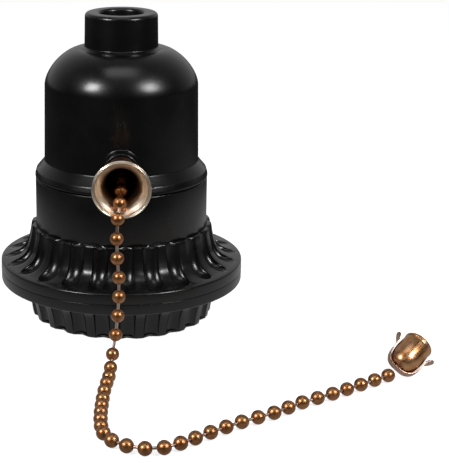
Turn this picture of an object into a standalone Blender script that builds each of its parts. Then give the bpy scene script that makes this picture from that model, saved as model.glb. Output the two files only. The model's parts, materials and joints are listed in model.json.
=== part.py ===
"""Pull chain lampholder: moulded cap and shell, two shade rings, chain bell, ball chain and switch.

The base centre is the origin and +Z runs up the lamp axis. The chain leaves along -Y.
"""
import math

import bmesh
import bpy
from mathutils import Matrix
from mathutils import Vector

MM = 0.001
GAP = 0.3                      # play kept between neighbouring pieces
TURN = 2.0 * math.pi

# Heights above the rest face, and radii, in millimetres
NECK_TOP = 72.7
NECK_TOP_R = 8.43
NECK_BASE_R = 8.6
MOUTH_R = 5.1
BUSHING_BORE_R = 6.7
DOME_TOP = 64.35
DOME_FLAT_R = 10.0
CAP_R = 17.98
DOME_SPRING = 56.0
DOME_POWER = 1.6
SHOULDER_TOP = 38.3
SEAM = 34.1
SKIRT_R = 20.5
CAP_BORE_R = 16.1
SPIGOT_R = 18.1
SPIGOT_END = 28.2

SHELL_R = 20.4
SHELL_SHOULDER = 20.9
THREAD_R = 19.7
SHELL_END = 1.3
SHELL_BORE_R = 17.6
LEDGE_TOP = 26.3

RING_SEAM = 11.25
RING_HEIGHT = 11.1
RING_BORE_R = 20.0
RING_COUNTERBORE_R = 20.7
RIB_COUNT = 24
RIB_HALF_ANGLE = 2.7
UPPER_RIB_PHASE = -5.0
LOWER_RIB_PHASE = 4.0          # the lower ring is turned over, which mirrors its ribs

BELL_Z = 40.4
BOSS_R = 4.6
BOSS_END = 21.5
BELL_HOLE_R = 3.2
BELL_MOUTH = 37.2

CORE_TOP = 30.0
CORE_FLANGE_BOTTOM = 26.6
CORE_BOTTOM = 24.2

PIVOT_Y = -6.5
PIVOT_Z = 50.0
SPINDLE_R = 1.2
LEVER_REST = math.radians(22.5)
LEVER_ARM = 9.6
CHAIN_Z = PIVOT_Z - LEVER_ARM    # the chain pulls the lever at right angles to its arm
CHAIN_START_Y = -4.4
ANCHOR_BALL_Y = -0.33
CHAIN_R = 1.5

CUP_LENGTH = 8.2
CUP_POINT = Vector((60.0, -44.0, 2.4))
CUP_HEADING = math.radians(45.0)
CUP_TILT = math.radians(24.0)
CLIP_ROLL = math.radians(38.0)

# The chain's route in millimetres: through the bell, over its lip, down, and along the rest surface
CHAIN_ROUTE = (
    (0.0, CHAIN_START_Y, CHAIN_Z), (0.0, -10.0, 40.3), (0.0, -18.0, 39.95), (0.0, -25.0, 39.85),
    (-0.1, -30.0, 39.15), (-0.2, -33.2, 38.1), (-0.4, -36.2, 36.95), (-0.6, -38.2, 35.9),
    (-0.8, -39.05, 34.2), (-1.0, -39.2, 31.0), (-0.9, -39.1, 26.0), (-0.5, -39.0, 20.0),
    (-0.7, -39.0, 14.0), (-1.2, -39.1, 8.6), (-1.8, -40.1, 4.9), (-2.3, -43.0, 2.4),
    (-2.7, -47.0, 1.55), (-3.5, -53.5, 1.55), (-4.0, -61.0, 1.55), (-4.2, -69.0, 1.55),
    (-3.6, -75.4, 1.55), (-1.6, -79.3, 1.55), (2.4, -82.1, 1.55), (7.0, -82.6, 1.55),
    (11.6, -80.2, 1.55), (17.7, -75.2, 1.55), (24.3, -70.2, 1.55), (31.2, -65.8, 1.55),
    (37.2, -60.8, 1.55), (44.1, -56.3, 1.55), (50.8, -51.4, 1.55), (55.6, -47.9, 1.58),
    (58.4, -45.8, 1.6),
)
CHAIN_STEP = 3.0


def clear_scene():
    for item in list(bpy.data.objects):
        bpy.data.objects.remove(item, do_unlink=True)


def finish(name, colour, metallic, roughness):
    """A Principled material for one piece."""
    material = bpy.data.materials.new(name)
    material.use_nodes = True
    shader = material.node_tree.nodes["Principled BSDF"]
    shader.inputs["Base Color"].default_value = (*colour, 1.0)
    shader.inputs["Metallic"].default_value = metallic
    shader.inputs["Roughness"].default_value = roughness
    return material


FINISHES = {
    "phenolic": ((0.012, 0.012, 0.013), 0.0, 0.32),
    "inner_phenolic": ((0.055, 0.035, 0.025), 0.0, 0.45),
    "copper_plate": ((0.72, 0.45, 0.33), 1.0, 0.22),
    "antique_bronze": ((0.42, 0.22, 0.09), 1.0, 0.28),
    "clip_steel": ((0.62, 0.50, 0.43), 1.0, 0.35),
    "brass": ((0.73, 0.56, 0.25), 1.0, 0.3),
    "zinc_steel": ((0.60, 0.61, 0.62), 1.0, 0.38),
    "spring_bronze": ((0.66, 0.42, 0.22), 1.0, 0.32),
}


def add_object(name, mesh_builder, look, origin=(0.0, 0.0, 0.0), turn=None):
    """Make one object from a bmesh in millimetres about its own origin, and place it."""
    bmesh.ops.scale(mesh_builder, vec=(MM, MM, MM), verts=mesh_builder.verts)
    bmesh.ops.recalc_face_normals(mesh_builder, faces=mesh_builder.faces)
    mesh = bpy.data.meshes.new(name)
    mesh_builder.to_mesh(mesh)
    mesh_builder.free()
    mesh.shade_smooth()
    mesh.set_sharp_from_angle(angle=math.radians(35.0))
    piece = bpy.data.objects.new(name, mesh)
    bpy.context.scene.collection.objects.link(piece)
    place = Matrix.Translation(Vector(origin) * MM)
    if turn is not None:
        place = place @ turn
    piece.matrix_world = place
    if look is not None:
        mesh.materials.append(finish(name + "_finish", *FINISHES[look]))
    return piece


def hide_tool(piece):
    piece.hide_render = True
    piece.display_type = "WIRE"


def combine(target, tool, operation):
    """Cut a hidden tool from a piece, or fuse it on."""
    hide_tool(tool)
    step = target.modifiers.new(operation.lower(), "BOOLEAN")
    step.operation = operation
    step.solver = "EXACT"
    step.object = tool


def spun(outline, steps):
    """Spin a closed (radius, height) outline about Z; a stretch on the axis itself is left out."""
    builder = bmesh.new()
    points = [builder.verts.new((radius, 0.0, height)) for radius, height in outline]
    pairs = [(i - 1, i) for i in range(len(points)) if max(outline[i - 1][0], outline[i][0]) > 0.001]
    edges = [builder.edges.new((points[a], points[b])) for a, b in pairs]
    bmesh.ops.spin(builder, geom=points + edges, cent=(0.0, 0.0, 0.0), axis=(0.0, 0.0, 1.0),
                   angle=TURN, steps=steps, use_merge=True, use_duplicate=False)
    bmesh.ops.remove_doubles(builder, verts=builder.verts, dist=0.001)
    bmesh.ops.dissolve_degenerate(builder, dist=0.0005, edges=builder.edges)
    return builder


def prism(outline, low, high):
    """A closed (x, y) outline raised from one height to another along Z."""
    builder = bmesh.new()
    base = [builder.verts.new((x, y, low)) for x, y in outline]
    face = builder.faces.new(base)
    raised = bmesh.ops.extrude_face_region(builder, geom=[face])
    moved = [item for item in raised["geom"] if isinstance(item, bmesh.types.BMVert)]
    bmesh.ops.translate(builder, vec=(0.0, 0.0, high - low), verts=moved)
    return builder


def block(low, high):
    """A box between two corners."""
    corners = ((low[0], low[1]), (high[0], low[1]), (high[0], high[1]), (low[0], high[1]))
    return prism(corners, low[2], high[2])


def circle_points(radius, steps, start=0.0):
    return [(radius * math.cos(start + TURN * i / steps), radius * math.sin(start + TURN * i / steps))
            for i in range(steps)]


def rod(radius, low, high, steps=16):
    """A round bar, turned a little so that its corners miss the seams of what it cuts."""
    return prism(circle_points(radius, steps, 0.11), low, high)


def arc(centre, radii, start, end, count, power=2.0):
    """Points of a superellipse quarter or an arc, angles in degrees."""
    points = []
    for i in range(count):
        angle = math.radians(start + (end - start) * i / (count - 1))
        across = math.copysign(abs(math.cos(angle)) ** (2.0 / power), math.cos(angle))
        along = math.copysign(abs(math.sin(angle)) ** (2.0 / power), math.sin(angle))
        points.append((centre[0] + radii[0] * across, centre[1] + radii[1] * along))
    return points


def ribbon(path, thickness):
    """Outline of a strip of even thickness whose middle line is an open path in a plane."""
    left = []
    right = []
    for i, (u, v) in enumerate(path):
        before = path[max(i - 1, 0)]
        after = path[min(i + 1, len(path) - 1)]
        du, dv = after[0] - before[0], after[1] - before[1]
        length = math.hypot(du, dv)
        nu, nv = -dv / length * thickness / 2.0, du / length * thickness / 2.0
        left.append((u + nu, v + nv))
        right.append((u - nu, v - nv))
    return left + right[::-1]


def along(axis):
    """Turn a shape made along +Z so that it runs along another axis, keeping X level."""
    return Vector((0.0, 0.0, 1.0)).rotation_difference(Vector(axis)).to_matrix().to_4x4()


# Local (x, y, z) of a plate drawn as (y, z) and raised along X
PLATE_ON_X = Matrix(((0, 0, 1, 0), (1, 0, 0, 0), (0, 1, 0, 0), (0, 0, 0, 1)))
# Local (x, y, z) of a plate drawn as (x, z) and raised along -Y
PLATE_ON_Y = Matrix(((1, 0, 0, 0), (0, 0, -1, 0), (0, 1, 0, 0), (0, 0, 0, 1)))
TO_FRONT = along((0.0, -1.0, 0.0))
TO_SIDE = along((1.0, 0.0, 0.0))


def build_cap():
    """Moulded cap: threaded neck, domed shoulder, skirt, and the boss that the bell screws into."""
    outline = [(MOUTH_R, NECK_TOP - 0.6), (MOUTH_R + 0.4, NECK_TOP)]
    outline += arc((NECK_TOP_R - 1.0, NECK_TOP - 1.0), (1.0, 1.0), 80.0, 0.0, 2)
    outline += [(NECK_BASE_R, 65.1), (NECK_BASE_R + 0.25, 64.65), (NECK_BASE_R + 0.7, 64.42)]
    outline += arc((DOME_FLAT_R, DOME_SPRING), (CAP_R - DOME_FLAT_R, DOME_TOP - DOME_SPRING),
                   90.0, 0.0, 7, DOME_POWER)
    outline += [(18.2, SHOULDER_TOP), (18.35, 37.75), (19.75, 36.15), (20.2, 35.6), (20.4, 34.9)]
    outline += [(SKIRT_R, SEAM + 0.2), (SKIRT_R - 0.2, SEAM)]
    outline += [(SPIGOT_R, SEAM), (SPIGOT_R, SPIGOT_END), (CAP_BORE_R, SPIGOT_END)]
    outline += arc((9.0, 54.5), (CAP_BORE_R - 9.0, 6.9), 0.0, 90.0, 4, DOME_POWER)
    outline += [(BUSHING_BORE_R, 61.4), (BUSHING_BORE_R, 70.1), (MOUTH_R, 70.1)]
    cap = add_object("cap", spun(outline, 36), "phenolic")
    boss_profile = [(0.0, 16.9), (0.0, BOSS_END), (BOSS_R - 0.6, BOSS_END), (BOSS_R - 0.18, BOSS_END - 0.18)]
    boss_profile += [(BOSS_R, BOSS_END - 0.6), (BOSS_R, 16.9)]
    boss = add_object("cap_boss_form", spun(boss_profile, 20), None, (0, 0, BELL_Z), TO_FRONT)
    combine(cap, boss, "UNION")
    bell_hole = add_object("cap_bell_hole", rod(BELL_HOLE_R, 10.0, 25.0, 20), None, (0, 0, BELL_Z), TO_FRONT)
    combine(cap, bell_hole, "DIFFERENCE")
    spot_face = add_object("cap_nut_face", rod(5.0, 8.0, 15.7, 20), None, (0, 0, BELL_Z), TO_FRONT)
    combine(cap, spot_face, "DIFFERENCE")
    screw_hole = add_object("cap_screw_hole", rod(1.6, 4.0, 10.0, 12), None, (0, 0, 66.5), along((0, 1, 0)))
    combine(cap, screw_hole, "DIFFERENCE")
    return cap


def build_bushing():
    """Steel entry bushing in the neck, with its flange under the dome."""
    outline = [(4.7, 59.9), (8.6, 59.9), (8.6, 61.1), (6.4, 61.1), (6.4, 69.8), (5.0, 69.8), (4.7, 69.4)]
    bushing = add_object("neck_bushing", spun(outline, 18), "zinc_steel")
    hole = add_object("bushing_screw_hole", rod(1.6, 3.0, 8.0, 12), None, (0, 0, 66.5), along((0, 1, 0)))
    combine(bushing, hole, "DIFFERENCE")
    screw = [(0.0, 5.0), (0.9, 5.0), (1.3, 5.4), (1.3, 8.2), (0.45, 8.2), (0.45, 7.4), (0.0, 7.4)]
    add_object("neck_set_screw", spun(screw, 12), "zinc_steel", (0, 0, 66.5), along((0, 1, 0)))


def build_shell():
    """Moulded shell: plain band, threaded barrel for the shade rings, and the core's ledge."""
    outline = [(18.4, 33.8), (SHELL_R - 0.25, 33.8), (SHELL_R, 33.55), (SHELL_R, SHELL_SHOULDER)]
    outline += [(THREAD_R, SHELL_SHOULDER - 0.3), (THREAD_R, SHELL_END + 0.4), (THREAD_R - 0.4, SHELL_END)]
    outline += [(SHELL_BORE_R + 0.3, SHELL_END), (SHELL_BORE_R, SHELL_END + 0.3), (SHELL_BORE_R, 24.2)]
    outline += [(16.4, 25.0), (16.4, LEDGE_TOP), (18.4, LEDGE_TOP)]
    add_object("shell", spun(outline, 36), "phenolic")


# Rib envelope of a shade ring from its collar end to its rim: radius, height, flute depth
RING_ENVELOPE = (
    (21.2, RING_HEIGHT, 0.25), (21.5, 10.75, 0.5), (21.9, 8.7, 0.75), (22.35, 6.8, 0.95),
    (23.1, 5.1, 1.15), (24.5, 3.75, 1.15), (26.5, 2.95, 0.55), (28.3, 2.65, 0.0),
)
RING_RIM = ((28.8, 2.3), (29.0, 0.3), (28.7, 0.0))
RING_INSIDE = ((20.4, 0.0), (RING_BORE_R, 0.4), (RING_BORE_R, 9.2), (RING_COUNTERBORE_R, 9.2),
               (RING_COUNTERBORE_R, RING_HEIGHT))


def join_loops(builder, first, second):
    """Skin two closed rings of vertices when one has a whole multiple of the other's count."""
    if len(second) > len(first):
        first, second = second, first
    share = len(first) // len(second)
    count = len(second)
    for j in range(count):
        here = second[j]
        there = second[(j + 1) % count]
        fan = [first[(j * share + k) % len(first)] for k in range(share + 1)]
        builder.faces.new((here, there, fan[-1], fan[-2]))
        for k in range(share - 1):
            builder.faces.new((here, fan[k + 1], fan[k]))


def build_shade_ring(name, phase, flip):
    """Fluted clamping ring: 24 narrow ribs on a collar whose flutes run out on the flange."""
    pitch = 360.0 / RIB_COUNT
    cuts = ((-RIB_HALF_ANGLE, 0.0), (RIB_HALF_ANGLE, 0.0), (4.6, 0.8), (7.5, 1.0), (10.4, 0.8))
    builder = bmesh.new()
    loops = []
    for i, (radius, height, depth) in enumerate(RING_ENVELOPE):
        before = RING_ENVELOPE[max(i - 1, 0)]
        after = RING_ENVELOPE[min(i + 1, len(RING_ENVELOPE) - 1)]
        run, drop = after[0] - before[0], before[1] - after[1]
        length = math.hypot(run, drop)
        inward = -drop / length
        downward = -run / length
        if i == 0:
            inward, downward = -1.0, 0.0
        loop = []
        for rib in range(RIB_COUNT):
            for offset, share in cuts:
                angle = math.radians(phase - 90.0 + rib * pitch + offset)
                out = radius + inward * depth * share
                up = height + downward * depth * share
                loop.append(builder.verts.new((out * math.cos(angle), out * math.sin(angle), up)))
        loops.append(loop)
    plain_steps = 30
    for radius, height in RING_RIM + RING_INSIDE:
        loop = []
        for j in range(plain_steps):
            angle = math.radians(phase - 90.0 - RIB_HALF_ANGLE) + TURN * j / plain_steps
            loop.append(builder.verts.new((radius * math.cos(angle), radius * math.sin(angle), height)))
        loops.append(loop)
    for i in range(len(loops)):
        join_loops(builder, loops[i - 1], loops[i])
    turn = Matrix.Rotation(math.pi, 4, "Y") if flip else None
    height = RING_SEAM - GAP / 2.0 if flip else RING_SEAM + GAP / 2.0
    return add_object(name, builder, "phenolic", (0, 0, height), turn)


def build_bell():
    """Trumpet guide for the chain, screwed into the cap's boss and locked by a round nut."""
    outer = [(2.9, 12.9), (2.9, 21.8), (3.4, 21.8), (3.4, 26.5), (3.55, 28.5), (3.95, 30.5), (4.6, 32.5)]
    outer += [(5.35, 34.3), (6.0, 35.8), (6.35, 36.5), (6.45, 36.9), (6.3, BELL_MOUTH), (6.0, BELL_MOUTH)]
    inner = [(5.75, 36.6), (5.2, 35.2), (4.4, 33.4), (3.6, 31.3), (3.15, 29.2), (2.8, 27.0), (2.4, 22.0)]
    inner += [(2.4, 12.9)]
    add_object("chain_bell", spun(outer + inner, 18), "copper_plate", (0, 0, BELL_Z), TO_FRONT)
    nut = [(3.2, 13.3), (4.3, 13.3), (4.5, 13.5), (4.5, 14.9), (4.3, 15.1), (3.2, 15.1)]
    add_object("bell_lock_nut", spun(nut, 16), "brass", (0, 0, BELL_Z), TO_FRONT)


def build_core():
    """Insulating core clamped between the cap's spigot and the shell's ledge."""
    outline = [(1.5, CORE_BOTTOM), (16.1, CORE_BOTTOM), (16.1, CORE_FLANGE_BOTTOM)]
    outline += [(18.1, CORE_FLANGE_BOTTOM), (18.1, 27.9), (15.8, 27.9), (15.8, CORE_TOP), (1.5, CORE_TOP)]
    core = add_object("core_base", spun(outline, 24), "inner_phenolic")
    for i, (x, y, radius, depth) in enumerate(CORE_HOLES):
        hole = add_object("core_hole_%d" % i, rod(radius, depth, 40.0, 8), None, (x, y, 0))
        combine(core, hole, "DIFFERENCE")


SHELL_RIVETS = ((-8.0, 0.0), (8.0, 0.0))
TONGUE_RIVET = (4.4, 0.0)
NEUTRAL_SCREW = (-12.4, 0.0)
LIVE_SCREW = (7.6, 10.2)
FRAME_SCREWS = ((-3.4, -6.5), (3.4, -6.5))
WIRE_SLOTS = ((-6.0, 12.6), (-1.0, 13.0))
CORE_HOLES = tuple((x, y, 1.3, 20.0) for x, y in SHELL_RIVETS)
CORE_HOLES += ((*TONGUE_RIVET, 1.1, 20.0), (*NEUTRAL_SCREW, 1.6, 26.6), (*LIVE_SCREW, 1.6, 26.6))
CORE_HOLES += tuple((x, y, 1.3, 26.0) for x, y in FRAME_SCREWS)
CORE_HOLES += tuple((x, y, 1.6, 20.0) for x, y in WIRE_SLOTS)


def build_screw_shell():
    """Drawn lamp thread shell, open at the bottom, riveted under the core."""
    outline = [(6.5, 23.9), (13.5, 23.9), (13.8, 23.6), (13.8, 3.7), (14.3, 3.0), (14.0, 2.7), (13.4, 3.5)]
    outline += [(13.4, 23.5), (6.5, 23.5)]
    can = add_object("screw_shell", spun(outline, 28), "brass")
    for i, (x, y) in enumerate(SHELL_RIVETS):
        hole = add_object("screw_shell_hole_%d" % i, rod(1.3, 22.0, 25.0, 8), None, (x, y, 0))
        combine(can, hole, "DIFFERENCE")


def rivet(name, place, shank, head, low, high):
    """Solid rivet: a shank between two heads 0.7 mm high."""
    x, y = place
    outline = [(0.0, low), (head - 0.3, low), (head, low + 0.3), (head, low + 0.7), (shank, low + 0.7)]
    outline += [(shank, high - 0.7), (head, high - 0.7), (head, high - 0.3), (head - 0.3, high), (0.0, high)]
    add_object(name, spun(outline, 8), "brass", (x, y, 0))


def pan_screw(name, place, shank, head, seat, tip, look):
    """Slotted pan head screw standing on a seat, tip down."""
    x, y = place
    outline = [(0.0, tip), (shank - 0.3, tip), (shank, tip + 0.4), (shank, seat), (head, seat)]
    outline += [(head, seat + 1.1), (head - 0.5, seat + 1.6), (0.0, seat + 1.7)]
    screw = add_object(name, spun(outline, 10), look, (x, y, 0))
    slot = block((-head - 1.0, -0.3, seat + 0.9), (head + 1.0, 0.3, seat + 3.0))
    combine(screw, add_object(name + "_slot", slot, None, (x, y, 0)), "DIFFERENCE")


def build_contacts():
    """Rivets, terminals, the lamp's centre tongue and the two switch blades."""
    for i, place in enumerate(SHELL_RIVETS):
        rivet("screw_shell_rivet_%d" % (i + 1), place, 1.0, 1.6, 22.5, 32.1 if i == 0 else 31.0)
    rivet("tongue_rivet", TONGUE_RIVET, 0.8, 1.5, 22.4, 31.7)
    tongue_path = ((2.6, 0.0), (-1.4, 0.0), (-3.0, -0.35), (-5.4, -1.9), (-7.0, -2.7), (-8.2, -2.3))
    tongue = add_object("centre_tongue", prism(ribbon(tongue_path, 0.4), -2.0, 2.0), "spring_bronze",
                        (3.2, 0, 23.6), PLATE_ON_Y)
    hole = add_object("tongue_hole", rod(1.1, 22.0, 25.0, 12), None, (*TONGUE_RIVET, 0))
    combine(tongue, hole, "DIFFERENCE")
    plate = add_object("neutral_terminal", block((-15.0, -2.6, 30.3), (-6.2, 2.6, 31.1)), "brass")
    for i, (x, y, radius) in enumerate(((*SHELL_RIVETS[0], 1.3), (*NEUTRAL_SCREW, 1.6))):
        hole = add_object("neutral_hole_%d" % i, rod(radius, 29.0, 33.0, 12), None, (x, y, 0))
        combine(plate, hole, "DIFFERENCE")
    pan_screw("neutral_screw", NEUTRAL_SCREW, 1.3, 2.5, 31.4, 27.0, "brass")
    pan_screw("live_screw", LIVE_SCREW, 1.3, 2.5, 31.4, 27.0, "brass")
    live_path = ((12.4, 30.5), (6.6, 30.5), (5.9, 31.4), (5.9, 46.2), (5.2, 47.0), (0.0, 49.2))
    live_path += ((-0.9, 50.0), (-0.9, 51.4), (-0.2, 52.8))
    wide = prism(ribbon(live_path, 0.4), 1.9, 3.3)
    blade = add_object("live_blade", wide, "spring_bronze", (0, 0, 0), PLATE_ON_X)
    pad = add_object("live_terminal_pad", block((3.0, 8.1, 30.3), (10.2, 12.1, 30.7)), None)
    combine(blade, pad, "UNION")
    combine(blade, add_object("live_hole", rod(1.6, 29, 33, 12), None, (*LIVE_SCREW, 0)), "DIFFERENCE")
    lamp_path = ((-15.2, 30.5), (-12.9, 30.5), (-12.2, 31.2), (-12.2, 51.6), (-12.9, 53.0))
    blade_strip = prism(ribbon(lamp_path, 0.4), 1.9, 3.3)
    lamp = add_object("lamp_blade", blade_strip, "spring_bronze", (0, 0, 0), PLATE_ON_X)
    strap = ((2.9, 1.5), (2.9, -2.9), (7.8, -2.9), (7.8, -11.6), (6.6, -12.9), (1.9, -12.9), (1.9, -14.4))
    strap += ((5.2, -14.4), (9.2, -11.6), (9.2, -1.95), (5.9, -1.95), (5.9, 1.5))
    combine(lamp, add_object("lamp_strap", prism(strap, 30.3, 30.7), None), "UNION")
    combine(lamp, add_object("lamp_hole", rod(1.1, 29, 33, 8), None, (*TONGUE_RIVET, 0)), "DIFFERENCE")


def build_frame():
    """Bent steel bracket that carries the spindle, and its two screws."""
    outline = [(-7.2, 30.3), (7.2, 30.3), (7.2, 52.2), (6.4, 53.0), (6.4, 31.1), (-6.4, 31.1), (-6.4, 53.0)]
    outline += [(-7.2, 52.2)]
    bracket = add_object("switch_frame", prism(outline, 3.2, 9.8), "zinc_steel", (0, 0, 0), PLATE_ON_Y)
    bore = add_object("frame_bore", rod(SPINDLE_R + 0.15, -9, 9, 12), None, (0, PIVOT_Y, PIVOT_Z), TO_SIDE)
    combine(bracket, bore, "DIFFERENCE")
    for i, place in enumerate(FRAME_SCREWS):
        hole = add_object("frame_hole_%d" % i, rod(1.3, 29, 33, 12), None, (*place, 0))
        combine(bracket, hole, "DIFFERENCE")
        pan_screw("frame_screw_%d" % (i + 1), place, 1.0, 2.0, 31.4, 26.4, "zinc_steel")
    pin = [(0.0, -8.2), (1.8, -8.2), (1.8, -7.5), (SPINDLE_R, -7.5), (SPINDLE_R, 7.5), (1.8, 7.5)]
    pin += [(1.8, 8.2), (0.0, 8.2)]
    add_object("ratchet_spindle", spun(pin, 12), "zinc_steel", (0, PIVOT_Y, PIVOT_Z), TO_SIDE)


def build_rotor():
    """Ratchet wheel, insulating drum and four-armed contact, which turn together on the spindle."""
    pivot = (0, PIVOT_Y, PIVOT_Z)
    teeth = []
    for i in range(8):
        for angle, radius in ((-22.5, 4.75), (0.0, 5.4), (0.0, 4.1)):
            turn = math.radians(45.0 * i + angle)
            teeth.append((radius * math.cos(turn), radius * math.sin(turn)))
    star = []
    for i in range(4):
        for angle, radius in ((-14.0, 5.2), (14.0, 5.2), (30.0, 2.8), (60.0, 2.8)):
            turn = math.radians(90.0 * i + angle)
            star.append((radius * math.cos(turn), radius * math.sin(turn)))
    drum = []
    for i in range(8):
        radius = 4.3 if i % 2 == 0 else 3.7
        for angle in (-10.0, 10.0):
            turn = math.radians(45.0 * i + angle)
            drum.append((radius * math.cos(turn), radius * math.sin(turn)))
    layers = (("ratchet_wheel", teeth, -3.3, -1.6, "zinc_steel"),
              ("switch_drum", drum, -1.3, 1.6, "inner_phenolic"),
              ("rotor_contact", star, 1.9, 2.7, "brass"))
    for name, outline, low, high, look in layers:
        piece = add_object(name, prism(outline, low, high), look, pivot, PLATE_ON_X)
        bore = add_object(name + "_bore", rod(SPINDLE_R + 0.15, -9, 9, 12), None, pivot, TO_SIDE)
        combine(piece, bore, "DIFFERENCE")


def build_lever():
    """Pull lever: a stirrup on the spindle with a forked web that the chain's last ball pulls."""
    pivot = (0, PIVOT_Y, PIVOT_Z)
    swing = Matrix.Rotation(LEVER_REST, 4, "X")
    cheek = [(2.6 * math.sin(math.radians(a)), 2.6 * math.cos(math.radians(a)))
             for a in range(-110, 111, 22)]
    cheek += [(1.9, -8.0), (0.4, -11.6), (-0.4, -11.6), (-1.9, -8.0)]
    lever = add_object("pull_lever", prism(cheek, 3.6, 4.4), "zinc_steel", pivot, swing @ PLATE_ON_X)
    other = add_object("lever_cheek_form", prism(cheek, -4.4, -3.6), None, pivot, swing @ PLATE_ON_X)
    web = add_object("lever_web_form", block((-4.2, -0.4, -11.6), (4.2, 0.4, -8.4)), None, pivot, swing)
    slot = add_object("lever_slot", block((-0.7, -3.0, -13.0), (0.7, 3.0, -9.0)), None, pivot, swing)
    bore = add_object("lever_bore", rod(SPINDLE_R + 0.15, -9, 9, 12), None, pivot, TO_SIDE)
    combine(lever, web, "UNION")
    combine(lever, other, "UNION")
    combine(lever, slot, "DIFFERENCE")
    combine(lever, bore, "DIFFERENCE")
    pawl_path = ((-0.85, -10.8), (-0.85, -9.2), (-1.2, -7.8), (-1.6, -5.85))
    add_object("pawl", prism(ribbon(pawl_path, 0.3), -3.2, -1.8), "spring_bronze", pivot, swing @ PLATE_ON_X)


def tube(name, points, radius, sides, look):
    """A round wire or cord along points in millimetres, with filled ends."""
    curve = bpy.data.curves.new(name, "CURVE")
    curve.dimensions = "3D"
    spline = curve.splines.new("POLY")
    spline.points.add(len(points) - 1)
    for slot, point in zip(spline.points, points):
        slot.co = (*(Vector(point) * MM), 1.0)
    curve.bevel_depth = radius * MM
    curve.bevel_resolution = sides
    curve.use_fill_caps = True
    piece = bpy.data.objects.new(name, curve)
    bpy.context.scene.collection.objects.link(piece)
    curve.materials.append(finish(name + "_finish", *FINISHES[look]))
    return piece


def build_return_spring():
    """Torsion spring round the spindle: one leg lies on the frame and one on the lever."""
    turns = 3.0
    per_turn = 10
    coil = []
    for i in range(int(turns * per_turn) + 1):
        angle = math.radians(-30.0) + TURN * i / per_turn
        coil.append((4.95 + 1.1 * i / (turns * per_turn), 2.2 * math.cos(angle), 2.2 * math.sin(angle)))
    first, last = coil[0], coil[-1]
    leg_down = (first[0], first[1] - 1.2, first[2] - 5.0)
    leg_back = (last[0], last[1] + 1.0, last[2] - 4.0)
    points = [leg_down] + coil + [leg_back]
    tube("return_spring", [(x, PIVOT_Y + y, PIVOT_Z + z) for x, y, z in points], 0.2, 1, "zinc_steel")


def smooth_route(route, step):
    """Evenly spaced points of the Catmull-Rom curve through the route's own points."""
    knots = [Vector(point) for point in route]
    dense = [knots[0]]
    for i in range(len(knots) - 1):
        p0 = knots[max(i - 1, 0)]
        p1, p2 = knots[i], knots[i + 1]
        p3 = knots[min(i + 2, len(knots) - 1)]
        for k in range(1, 13):
            t = k / 12.0
            point = 0.5 * (2.0 * p1 + (p2 - p0) * t + (2.0 * p0 - 5.0 * p1 + 4.0 * p2 - p3) * t * t
                           + (3.0 * p1 - p0 - 3.0 * p2 + p3) * t * t * t)
            dense.append(point)
    total = sum((b - a).length for a, b in zip(dense, dense[1:]))
    count = round(total / step)
    spaced = [dense[0]]
    travelled = 0.0
    for a, b in zip(dense, dense[1:]):
        length = (b - a).length
        while travelled + length >= len(spaced) * total / count and len(spaced) < count:
            share = (len(spaced) * total / count - travelled) / length
            spaced.append(a + (b - a) * share)
        travelled += length
    spaced.append(dense[-1])
    return spaced


def build_chain():
    """The ball chain as a plain tube, and its last ball behind the lever's fork."""
    tube("pull_chain", smooth_route(CHAIN_ROUTE, CHAIN_STEP), CHAIN_R, 2, "antique_bronze")
    ball = arc((0.0, 0.0), (CHAIN_R, CHAIN_R), -90.0, 90.0, 7)
    add_object("anchor_ball", spun(ball, 12), "antique_bronze", (0, ANCHOR_BALL_Y, CHAIN_Z))


def build_chain_end():
    """Drawn cup on the chain's free end, with the eared spring clip that is bent round it."""
    heading = Vector((math.cos(CUP_HEADING) * math.cos(CUP_TILT), math.sin(CUP_HEADING) * math.cos(CUP_TILT),
                      math.sin(CUP_TILT)))
    side = heading.cross(Vector((0.0, 0.0, 1.0))).normalized()
    up = side.cross(heading)
    ears = side * math.cos(CLIP_ROLL) - up * math.sin(CLIP_ROLL)
    third = heading.cross(ears)
    turn = Matrix((ears, third, heading)).transposed().to_4x4()
    outer = [(0.9, 0.0), (1.7, 0.1), (2.45, 0.7), (2.95, 1.7), (3.15, 3.0), (3.2, 5.0), (3.2, 7.2)]
    outer += [(3.35, 7.7), (3.35, 8.0), (3.15, CUP_LENGTH), (2.9, 8.0)]
    inner = [(2.85, 7.2), (2.85, 3.2), (2.55, 1.9), (2.0, 1.0), (1.3, 0.55), (0.9, 0.5)]
    add_object("end_cup", spun(outer + inner, 14), "antique_bronze", CUP_POINT, turn)
    half = [(1.2, -0.62), (2.3, -0.15), (3.1, 0.8), (3.6, 2.2), (3.75, 4.0), (3.85, 5.4), (4.5, 6.3)]
    half += [(5.0, 6.9)]
    path = [(-x, z) for x, z in half[::-1]] + half
    strip = prism(ribbon(path, 0.35), -1.1, 1.1)
    lay = turn @ PLATE_ON_Y
    clip = add_object("end_clip", strip, "clip_steel", CUP_POINT, lay)
    hole = add_object("clip_hole", rod(0.8, -3.0, 0.3, 12), None, CUP_POINT, turn)
    combine(clip, hole, "DIFFERENCE")


clear_scene()
build_cap()
build_bushing()
build_shell()
build_shade_ring("upper_shade_ring", UPPER_RIB_PHASE, False)
build_shade_ring("lower_shade_ring", LOWER_RIB_PHASE, True)
build_bell()
build_core()
build_screw_shell()
build_contacts()
build_frame()
build_rotor()
build_lever()
build_return_spring()
build_chain()
build_chain_end()
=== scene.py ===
# %% [markdown]
# # A pull chain lampholder
# The object is a moulded lampholder. A ball chain leaves its side through a small metal bell, and one pull on the
# chain turns the switch inside by one step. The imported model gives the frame: every size and place comes from it.
# This script puts the fine surfaces and the finishes round that frame, one piece at a time.

# %% Load the frame
import json
import math

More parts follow.
